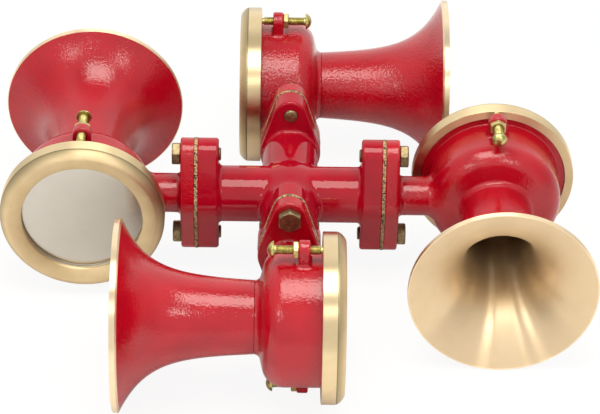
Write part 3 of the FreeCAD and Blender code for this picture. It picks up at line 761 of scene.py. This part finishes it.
def ring_shape():
    """Outer rim, groove, a front curved at two radii, the lip, and the bore.

    The face is an arc from the crown to the opening's edge. Its centre lies on the line that
    halves their distance d, at sqrt(R^2 - (d / 2)^2) behind it.
    """
    crown, edge = np.array([RING_FRONT, CROWN_RADIUS]), np.array([RING_EDGE, RING_OPENING])
    half = np.linalg.norm(edge - crown) / 2
    along, out = (edge - crown) / (2 * half)
    behind = math.sqrt(FACE_ROUND ** 2 - half ** 2)
    centre = (crown + edge) / 2 + behind * np.array([-out, along])
    start, end = (math.degrees(math.atan2(*(p - centre)[::-1])) for p in (crown, edge))
    face = arc(centre, FACE_ROUND, start, end, 14)
    corner = arc(CORNER_CENTRE, CORNER_ROUND, *CORNER_SPAN, 12)
    skirt = rounded([(RING_REAR, RING_BORE, 0.4), (RING_REAR, RING_RADIUS, 0.5),
                     (RIM_END, RING_RADIUS, 0)])
    lip = rounded([(RING_EDGE, RING_OPENING, 0), (RING_LEDGE, RING_OPENING, 0.3),
                   (RING_LEDGE, RING_BORE, 0)])[1:]
    profile = np.concatenate((skirt, [GROOVE], corner, face[1:], lip))
    rim_end = len(skirt) - 1
    which = np.repeat((RING_SIDE, RING_FACE), (rim_end, len(profile) - rim_end))
    fade = lengths_along(profile)[[rim_end, rim_end + len(corner) - 2]]
    return turn(profile, even_angles(RING_STEPS), closed=True), which, fade


ring, ring_faces, edge_fade = ring_shape()
# A dark reflection is painted into the ring's front next to the groove.
paint_shade_along(face_brass, EDGE_PAINTED_DARK, *edge_fade, at_start=1.0, at_end=0.0)
print("ring", triangles(ring[1]), "triangles, dark_painted from", *np.round(edge_fade, 4), "m")

# %% Diaphragms, and both in place
DISC_FRONT, DISC_BACK, DISC_RADIUS, DISC_EDGE = -37.8, -37, 62.8, 0.15


def disc_shape():
    """A disc with a few rows on each side for its shading.

    Its clamped part thins by DISC_EDGE a side towards the rim. Both corners there have the same
    neighbour, so the rows of each lie on each other.
    """
    front = [(DISC_FRONT, r) for r in (0, 12, 26, 40, 52)]
    edge = rounded([(DISC_FRONT, DISC_RADIUS, DISC_EDGE), (DISC_BACK, DISC_RADIUS, DISC_EDGE)])
    back = [(DISC_BACK, r) for r in (52, 26, 0)]
    return turn(np.concatenate((front, edge, back)), even_angles(RING_STEPS))


disc = disc_shape()
for side in SIDES:
    make_piece(f"{side}_ring", ring, side, f"{side}_clamp_ring",
               [ring_brass, face_brass], [f"{side}_clamp_ring"], ring_faces)
    make_piece(f"{side}_disc", disc, side, f"{side}_diaphragm", [disc_steel],
               [f"{side}_diaphragm"])
print("disc", triangles(disc[1]), "triangles")

# %% [markdown]
# ## Lock screws and their nuts
#
# A lock screw is an M8 screw with a domed hexagon head and a plain point. Its thread is real: the
# radius follows a triangle wave along the helix. The thin nut jams it against the lug.

# %% Threads
THREAD_ANGLES = 32
THREAD_STEPS = 8
FLANK_SLOPE, CREST_SHARE = 1.25, 0.12


def thread(low, high, crest, pitch, depth):
    """r = crest - depth w, with w a triangle wave of along / pitch - angle / turn.

    The wave is cut flat at 0 and 1, and it fades out over a pitch at each end.
    """
    def shape(x, r, angle):
        phase = (x / pitch - angle / WHOLE_TURN) % 1
        wave = np.clip(FLANK_SLOPE * np.abs(2 * phase - 1) - CREST_SHARE, 0, 1)
        fade = np.clip(min(x - low, high - x) / pitch, 0, 1)
        return np.minimum(r, crest - depth * wave * fade)
    return shape


# %% Lock screws
SCREW_RISE = 68.5
SCREW_RADIUS, POINT_RADIUS, POINT_LENGTH = 3.95, 2.75, 2
SCREW_TIP, HEAD_SEAT, HEAD_HEIGHT = -27.3, 12.7, 5.5
THREAD_PITCH, THREAD_DEPTH = 1.25, 0.7
SCREW_FLATS, DOME_RADIUS = 13, 7.6
DOME_ROWS = (12.9, 13.6, 14.3, 15, 15.6, 16.2, 16.8, 17.2, 17.6, 17.9, 18.1, 18.18)
NUT_REAR, NUT_FRONT, NUT_HOLE, NUT_FACE, NUT_CORNER = -7.5, -2.8, 4.0, 6.3, 7.6
NUT_SLOPE, NUT_CHAMFER = 0.7, 0.5


def screw_shape():
    """The shank from its point up to the head's seat, closed at both ends."""
    low, high = SCREW_TIP + POINT_LENGTH, HEAD_SEAT - 1
    steps = np.arange(low + 0.6, high, THREAD_PITCH / THREAD_STEPS)
    shank = np.column_stack((steps, np.full(len(steps), SCREW_RADIUS)))
    tip = [(SCREW_TIP, 0), (SCREW_TIP, POINT_RADIUS - EDGE), (SCREW_TIP + EDGE, POINT_RADIUS),
           (low, POINT_RADIUS), (low, POINT_RADIUS + 0.4)]
    end = [(HEAD_SEAT - 0.5, SCREW_RADIUS), (HEAD_SEAT + 0.5, SCREW_RADIUS), (HEAD_SEAT + 0.5, 0)]
    return turn(np.concatenate((tip, shank, end)), even_angles(THREAD_ANGLES),
                shape=thread(low, high, SCREW_RADIUS, THREAD_PITCH, THREAD_DEPTH))


def screw_head_shape():
    """A hexagon under a dome: r = sqrt(R^2 - (x - centre)^2), cut down to the flats."""
    top = HEAD_SEAT + HEAD_HEIGHT
    centre = top - DOME_RADIUS
    dome = [(x, math.sqrt(max(0.0, DOME_RADIUS ** 2 - (x - centre) ** 2)))
            for x in (*DOME_ROWS, top)]
    under = [(HEAD_SEAT, 0), (HEAD_SEAT, 6.1), (HEAD_SEAT + 0.1, 6.5)]
    return turn(np.concatenate((under, dome)), hexagon_angles(0), shape=hexagon(SCREW_FLATS, 0))


def nut_shape():
    """A closed ring: chamfered hexagon outside, chamfered hole inside."""
    rise = (NUT_CORNER - NUT_FACE) / NUT_SLOPE
    rows = [(NUT_REAR, NUT_HOLE + NUT_CHAMFER), (NUT_REAR, NUT_FACE),
            (NUT_REAR + 0.25, NUT_FACE + 0.25 * rise), (NUT_REAR + NUT_SLOPE, NUT_CORNER),
            (NUT_REAR + 1, NUT_CORNER), (NUT_FRONT - 1, NUT_CORNER),
            (NUT_FRONT - NUT_SLOPE, NUT_CORNER), (NUT_FRONT, NUT_FACE),
            (NUT_FRONT, NUT_HOLE + NUT_CHAMFER), (NUT_FRONT - NUT_CHAMFER, NUT_HOLE),
            (NUT_REAR + NUT_CHAMFER, NUT_HOLE)]
    return turn(np.array(rows), hexagon_angles(30), closed=True, shape=hexagon(SCREW_FLATS, 30))


def lifted(shape, rise):
    """Moves a shape along z."""
    return (shape[0] + np.array([0, 0, rise]), *shape[1:])


screw, screw_head, nut = screw_shape(), screw_head_shape(), nut_shape()
for side in SIDES:
    for end, sign in ENDS.items():
        lock = f"{side}_{end}_lock_"
        for part, shape, node, finish in (("shank", screw, "screw", yellow_zinc),
                                          ("head", screw_head, "screw", yellow_zinc),
                                          ("hexagon", nut, "nut", pale_zinc)):
            make_piece(lock + part, lifted(shape, sign * SCREW_RISE), side, lock + node,
                       [finish], [lock + node])
print("screw", triangles(screw[1]) + triangles(screw_head[1]), "and nut", triangles(nut[1]))

# %% [markdown]
# ## Flange bolts
#
# Two M12 bolts hold each joint. Their heads sit on the horn's flange with a corner up. Their ends
# come 2 mm through the manifold's flange. Both bolts of a joint are one CAD node, so the shank,
# the head and their twins all stand for it.

# %% Flange bolts
BOLT_RISE, BOLT_RADIUS = 41.0, 6.0
BOLT_SEAT, BOLT_HEIGHT, BOLT_LENGTH = -84.0, 7.5, 35.0
BOLT_PITCH, BOLT_DEPTH = 1.75, 0.95
BOLT_FLATS, WASHER_RADIUS, BOLT_CORNER = 18, 8.5, 10.5


def bolt_shank_shape(rise):
    """Along y, from the end that stands out of the manifold's flange up into the head."""
    low = BOLT_SEAT - BOLT_LENGTH
    steps = np.arange(low + 1.2, BOLT_SEAT - 12, BOLT_PITCH / THREAD_STEPS)
    shank = np.column_stack((steps, np.full(len(steps), BOLT_RADIUS)))
    start = [(low, 0), (low, BOLT_RADIUS - 1.1), (low + 0.9, BOLT_RADIUS - 0.2)]
    end = [(BOLT_SEAT, BOLT_RADIUS), (BOLT_SEAT + 1, BOLT_RADIUS), (BOLT_SEAT + 1, 0)]
    return turn(np.concatenate((start, shank, end)), even_angles(THREAD_ANGLES), along_y=rise,
                shape=thread(low, BOLT_SEAT - 11, BOLT_RADIUS, BOLT_PITCH, BOLT_DEPTH))


def bolt_head_shape(rise):
    """A hexagon 18 mm across flats on a thin washer face, chamfered on top."""
    top = BOLT_SEAT + BOLT_HEIGHT
    rows = [(BOLT_SEAT, 0), (BOLT_SEAT, WASHER_RADIUS), (BOLT_SEAT + 0.4, WASHER_RADIUS),
            (BOLT_SEAT + 0.45, 9.6), (BOLT_SEAT + 0.75, BOLT_CORNER),
            (BOLT_SEAT + 1.2, BOLT_CORNER), (top - 1.4, BOLT_CORNER), (top - 0.95, 10.3),
            (top - 0.5, 9.6), (top - 0.1, 8.8), (top, 8.5), (top, 4), (top, 0)]
    return turn(np.array(rows), hexagon_angles(30), along_y=rise, shape=hexagon(BOLT_FLATS, 30))


for end, sign in ENDS.items():
    shank, head = bolt_shank_shape(sign * BOLT_RISE), bolt_head_shape(sign * BOLT_RISE)
    for side in SIDES:
        for part, shape in (("shank", shank), ("head", head)):
            make_piece(f"{side}_{end}_bolt_{part}", shape, side, "root",
                       [bolt_brass], [f"{side}_flange_bolts"])
print("bolt", triangles(shank[1]) + triangles(head[1]), "triangles")

# %% [markdown]
# ## Castings
#
# A casting has no sharp edges: each inside corner carries a fillet and each outside edge a round.
# A field gives that directly. For each point in space it holds the distance to the nearest
# surface, negative inside the metal. Joining two solids is the minimum of their fields, keeping
# what is inside both is the maximum, and each has a form that leaves a round of radius R:
#
#     either(a, b) = max(R, min(a, b)) - hypot(max(R - a, 0), max(R - b, 0))
#     both(a, b)  = min(-R, max(a, b)) + hypot(max(R + a, 0), max(R + b, 0))

# %% Rounded joins and cuts
def either(a, b, r):
    """What is inside a or b, with a fillet of radius r."""
    return np.maximum(r, np.minimum(a, b)) - np.hypot(np.maximum(r - a, 0), np.maximum(r - b, 0))


def both(a, b, r):
    """What is inside both a and b, with a round of radius r."""
    return np.minimum(-r, np.maximum(a, b)) + np.hypot(np.maximum(r + a, 0), np.maximum(r + b, 0))


# %% The surface of a field
SURFACE_PASSES = 3
SLOPE_SHARE, LARGEST_SHIFT_SHARE = 0.1, 0.4
LEAST_SLOPE, NORMAL_REACH = 0.2, 0.15


def slope(field, points, h):
    """The field's gradient by central differences over h."""
    return np.column_stack([(field(points + h * e) - field(points - h * e)) / (2 * h)
                            for e in np.eye(3)])


def net(field, low, high, step):
    """Meshes the surface where a field is zero.

    Each grid cell that the surface crosses gets one point, at the mean of the places where the
    cell's edges cross it. Each crossed grid edge gets a face through the four cells round it. The
    points then move onto the surface by p - f g / |g|^2, and their normals are g / |g|.
    """
    axes = [np.arange(a - 1.5 * step, b + 2 * step, step) for a, b in zip(low, high)]
    shape = tuple(len(a) for a in axes)
    grid = np.stack(np.meshgrid(*axes, indexing="ij"), axis=-1).reshape(-1, 3)
    value = field(grid).reshape(shape)
    strides = np.array([shape[1] * shape[2], shape[2], 1])
    total, count = np.zeros((value.size, 3)), np.zeros(value.size)
    crossed = []
    for axis in range(3):
        a = np.moveaxis(value, axis, 0)[:-1]
        b = np.moveaxis(value, axis, 0)[1:]
        where = np.argwhere((a < 0) != (b < 0))
        start, end = a[tuple(where.T)], b[tuple(where.T)]
        index = np.insert(where[:, 1:], axis, where[:, 0], axis=1)
        cell = index @ strides
        place = grid[cell]
        place[:, axis] += step * start / (start - end)
        p, q = strides[(axis + 1) % 3], strides[(axis + 2) % 3]
        around = [cell, cell - p, cell - p - q, cell - q]
        for one in around:
            count += np.bincount(one, minlength=value.size)
            for k in range(3):
                total[:, k] += np.bincount(one, weights=place[:, k], minlength=value.size)
        quads = np.column_stack(around)
        crossed.append(np.where((start < 0)[:, None], quads, quads[:, ::-1]))
    used = np.flatnonzero(count)
    points = total[used] / count[used, None]
    number = np.full(value.size, -1)
    number[used] = np.arange(len(used))
    largest = LARGEST_SHIFT_SHARE * step
    for _ in range(SURFACE_PASSES):
        g = slope(field, points, SLOPE_SHARE * step)
        steep = np.maximum((g * g).sum(1, keepdims=True), LEAST_SLOPE)
        points = points - np.clip(field(points)[:, None] * g / steep, -largest, largest)
    g = slope(field, points, NORMAL_REACH)
    normals = g / np.maximum(np.linalg.norm(g, axis=1, keepdims=True), NEAR_ZERO)
    return points, [number[np.concatenate(crossed)]], None, normals


# %% The outline of the flanges
HUB, EAR = 26.8, 14.3


def oval(across, up):
    """Distance to the outline of a flange: two ears at the bolts joined to a larger hub.

    The tangent from hub to ear leans by asin((hub - ear) / rise). Beside it the distance is
    a s + b t - hub, with a and b the lean's cosine and sine.
    """
    s, t = np.abs(across), np.abs(up)
    b = (HUB - EAR) / BOLT_RISE
    a = math.sqrt(1 - b * b)
    k = a * t - b * s
    beside = a * s + b * t - HUB
    return np.where(k < 0, np.hypot(s, t) - HUB,
                    np.where(k > a * BOLT_RISE, np.hypot(s, t - BOLT_RISE) - EAR, beside))


# %% [markdown]
# ## Housings
#
# The drum is a cylinder with a leaning front and a large round between them. A collar takes the
# trumpet, a rim takes the clamp ring's thread, two lugs hold the lock screws, and the neck leads
# to the oval flange.

# %% Housings
CASTING_STEP = 1.1
DRUM_RADIUS, DRUM_FRONT, DRUM_ROUND = 57.4, (20.10, 47.17), 13.5
CHAMBER_RADIUS, CHAMBER_FRONT, CHAMBER_ROUND = 51.4, (14.28, 45.71), 7.5
FRONT_LEAN = math.radians(14)
COLLAR_RADIUS, COLLAR_FILLET, SPIGOT_HOLE = 30.6, 3.5, 28.05
RIM_FACE, RIM_BACK, RIM_RADIUS, RIM_FILLET = -36, -28.5, 63.5, 1.0
NECK_RADIUS, NECK_BORE, NECK_FILLET = 17.2, 13, 6
FLANGE_FACE, FLANGE_BACK, FLANGE_ROUND, FLANGE_FILLET = -96, -84, 2.2, 4
LUG_RADIUS, LUG_FRONT, LUG_REAR, LUG_ROUND, LUG_FILLET = 8.25, -7.5, -17, 1.6, 2.8
BOLT_HOLE, LOCK_HOLE = 6.5, 4.4
LUG_ROOT, BOLT_HOLE_END = 50, -80
SHARP, FACED, EASED = 0.4, 0.5, 0.6
HOUSING_BOX = (-36, -96, -77), (28.2, 64, 77)


def leaning_drum(x, q, radius, front, round_radius):
    """A cylinder about x whose front leans: (x - x0) cos(lean) + (q - q0) sin(lean) = 0."""
    lean = (x - front[0]) * math.cos(FRONT_LEAN) + (q - front[1]) * math.sin(FRONT_LEAN)
    return both(q - radius, lean, round_radius)


def housing_field(p):
    """Drum and collar, neck and flange, lugs and rim, less the chamber and all the holes."""
    x, y, z = p.T
    q = np.hypot(y, z)
    drum = leaning_drum(x, q, DRUM_RADIUS, DRUM_FRONT, DRUM_ROUND)
    drum = either(drum, both(q - COLLAR_RADIUS, x - COLLAR_FACE, EASED), COLLAR_FILLET)
    neck = np.maximum(np.hypot(x, z) - NECK_RADIUS, np.maximum(y, FLANGE_FACE - y))
    flange = both(both(oval(x, z), y - FLANGE_BACK, FLANGE_ROUND), FLANGE_FACE - y, FACED)
    metal = either(drum, either(neck, flange, FLANGE_FILLET), NECK_FILLET)
    lug = np.hypot(y, np.maximum(np.abs(z) - SCREW_RISE, 0)) - LUG_RADIUS
    lug = np.maximum(lug, LUG_ROOT - np.abs(z))
    lug = both(lug, np.maximum(x - LUG_FRONT, LUG_REAR - x), LUG_ROUND)
    metal = either(metal, lug, LUG_FILLET)
    metal = either(metal, both(q - RIM_RADIUS, x - RIM_BACK, FACED), RIM_FILLET)
    metal = np.maximum(metal, RIM_FACE - x)
    chamber = leaning_drum(x, q, CHAMBER_RADIUS, CHAMBER_FRONT, CHAMBER_ROUND)
    metal = both(metal, -chamber, SHARP)
    metal = both(metal, SPIGOT_HOLE - q, SHARP)
    metal = both(metal, -np.maximum(np.hypot(x, z) - NECK_BORE, y), EASED)
    bolt_hole = BOLT_HOLE - np.hypot(x, np.abs(z) - BOLT_RISE)
    metal = np.maximum(metal, np.minimum(bolt_hole, BOLT_HOLE_END - y))
    return np.maximum(metal, LOCK_HOLE - np.hypot(y, np.abs(z) - SCREW_RISE))


housing = net(housing_field, *HOUSING_BOX, CASTING_STEP)
for side in SIDES:
    make_piece(f"{side}_casting", housing, side, "root", [horn_paints[side]],
               [f"{side}_housing"])
print("housing", triangles(housing[1]), "triangles")

# %% [markdown]
# ## Manifold
#
# Two equal pipes cross, with a slight swell where they meet, a flange on each arm and a tapped
# boss below. The cross looks the same from all four sides, so the field of its flanges reads only
# the larger and the smaller of |x| and |y|. A hexagon bush with a 1 inch pipe thread is screwed
# into the boss.

# %% Manifold
PIPE_RADIUS, PIPE_BORE, CROSS_FILLET = 24.5, 17, 5
SWELL_RADIUS, SWELL_FILLET = 26, 4
BOSS_RADIUS, BOSS_FOOT, BOSS_HOLE, BOSS_HOLE_TOP = 23, -31, 17.85, -19.95
ARM_REACH, ARM_FLANGE_BACK, ARM_ROUND, ARM_FILLET = 80, 62, 2.4, 3.5
TAPPED_HOLE, TAPPED_HOLE_END, PASSAGE_RADIUS, BORE_EDGE = 6.05, 60, 14, 0.8
MANIFOLD_BOX = (-80, -80, -55.5), (80, 80, 55.5)


def manifold_field(p):
    """Two pipes, a swell where they cross, a boss and four flanges, less the bores and holes."""
    x, y, z = p.T
    out = np.maximum(np.abs(x), np.abs(y))
    beside = np.minimum(np.abs(x), np.abs(y))
    across_x, across_y, across_z = np.hypot(y, z), np.hypot(x, z), np.hypot(x, y)
    metal = either(across_x - PIPE_RADIUS, across_y - PIPE_RADIUS, CROSS_FILLET)
    metal = either(metal, np.sqrt(x * x + y * y + z * z) - SWELL_RADIUS, SWELL_FILLET)
    boss = both(np.maximum(across_z - BOSS_RADIUS, z), BOSS_FOOT - z, EASED)
    metal = either(metal, boss, SWELL_FILLET)
    flange = both(oval(beside, z), ARM_FLANGE_BACK - out, ARM_ROUND)
    flange = both(flange, out - ARM_REACH, FACED)
    metal = np.maximum(either(metal, flange, ARM_FILLET), out - ARM_REACH)
    metal = both(metal, PIPE_BORE - across_x, BORE_EDGE)
    metal = both(metal, PIPE_BORE - across_y, BORE_EDGE)
    tapped_hole = TAPPED_HOLE - np.hypot(beside, np.abs(z) - BOLT_RISE)
    metal = np.maximum(metal, np.minimum(tapped_hole, out - TAPPED_HOLE_END))
    passage = np.minimum(PASSAGE_RADIUS - across_z, -z)
    bush_hole = np.minimum(BOSS_HOLE - across_z, BOSS_HOLE_TOP - z)
    return np.maximum(metal, np.maximum(passage, bush_hole))


manifold = net(manifold_field, *MANIFOLD_BOX, CASTING_STEP)
make_piece("manifold_casting", manifold, None, "root", [manifold_paint],
           ["manifold"])
print("manifold", triangles(manifold[1]), "triangles")

# %% Inlet bush
BUSH_FLATS, BUSH_FOOT, BUSH_SEAT, BUSH_TOP = 46.0, -49.0, -31.0, -20.0
BUSH_CORNER, SPIGOT_OF_BUSH = 26.6, 17.8
INLET_RADIUS, INLET_PITCH, INLET_DEPTH = 15.15, 2.31, 1.3


def bush_shape():
    """Up the chamfered hexagon and the spigot, then down the passage and the inner thread."""
    inner = thread(BUSH_FOOT, BUSH_SEAT, INLET_RADIUS, INLET_PITCH, -INLET_DEPTH)
    outer = hexagon(BUSH_FLATS, 0)
    outside = [(BUSH_FOOT, 17.2), (BUSH_FOOT, 22.6), (BUSH_FOOT + 0.3, 23.5),
               (BUSH_FOOT + 1, 25), (BUSH_FOOT + 1.8, BUSH_CORNER),
               (BUSH_FOOT + 2.4, BUSH_CORNER), (BUSH_SEAT - 0.3, BUSH_CORNER),
               (BUSH_SEAT, 26.3), (BUSH_SEAT, SPIGOT_OF_BUSH), (BUSH_TOP, SPIGOT_OF_BUSH)]
    passage = [(BUSH_TOP, PASSAGE_RADIUS), (BUSH_SEAT + 0.6, PASSAGE_RADIUS)]
    steps = np.arange(BUSH_SEAT, BUSH_FOOT, -INLET_PITCH / THREAD_STEPS)
    root = INLET_RADIUS + INLET_DEPTH
    bore = np.column_stack((steps, np.full(len(steps), root)))
    points, faces, maps = turn(
        np.concatenate((outside, passage, bore)), hexagon_angles(0), closed=True,
        shape=lambda x, r, a: outer(x, r, a) if r > root else inner(x, r, a))
    return np.column_stack((points[:, 1], points[:, 2], points[:, 0])), faces, maps


bush = bush_shape()
make_piece("bush", bush, None, "root", [bolt_brass], ["inlet_bush"])
print("bush", triangles(bush[1]), "triangles")

# %% [markdown]
# ## Gaskets
#
# A gasket fills the joint and stands a little proud of it, with an edge that crumbles unevenly.
# It shares the flange's field, so it follows the outline all the way round.

# %% Gaskets
GASKET_STEP = 0.75
GASKET_MIDDLE, HALF_THICKNESS, AIR_HOLE = -97.5, 1.5, 17
PROUD, CRUMBLE = 0.15, 0.15
GASKET_BOX = (-27.4, -99, -56), (27.4, -96, 56)


def gasket_field(p):
    """A sheet with the flange's outline, pushed in and out by slow sine waves."""
    x, y, z = p.T
    waves = np.sin(1.9 * z + 1.3 * x) * np.sin(0.83 * z - 2.1 * x) + np.sin(3.1 * z + 0.7)
    outline = oval(x, z) - PROUD + CRUMBLE * waves
    sheet = both(outline, np.abs(y - GASKET_MIDDLE) - HALF_THICKNESS, SHARP)
    hole = BOLT_HOLE - np.hypot(x, np.abs(z) - BOLT_RISE)
    return np.maximum(sheet, np.maximum(hole, AIR_HOLE - np.hypot(x, z)))


gasket = net(gasket_field, *GASKET_BOX, GASKET_STEP)
for side in SIDES:
    make_piece(f"{side}_gasket", gasket, side, "root", [gasket_fibre],
               [f"{side}_flange_gasket"])
print("gasket", triangles(gasket[1]), "triangles")

# %% [markdown]
# ## What stays as it is
#
# The rubber seals lie out of sight, and of the slip rings only a thin edge shows behind the lips
# of the clamp rings. Their solids are plain flat rings, as the real ones are, so they only get
# their finish.

# %% Seals and slip rings
def give_finish(node, material):
    """Puts a material on a node's object, and leaves its mesh as it is."""
    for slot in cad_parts[node].material_slots:
        slot.link = "OBJECT"
        slot.material = material


for side in SIDES:
    give_finish(f"{side}_diaphragm_seal", seal_rubber)
    # The slip rings get the steel that is painted pale against the shade of their gap.
    give_finish(f"{side}_slip_ring", slip_steel_painted_pale)
print("left as solids", 2 * len(SIDES), "rings")
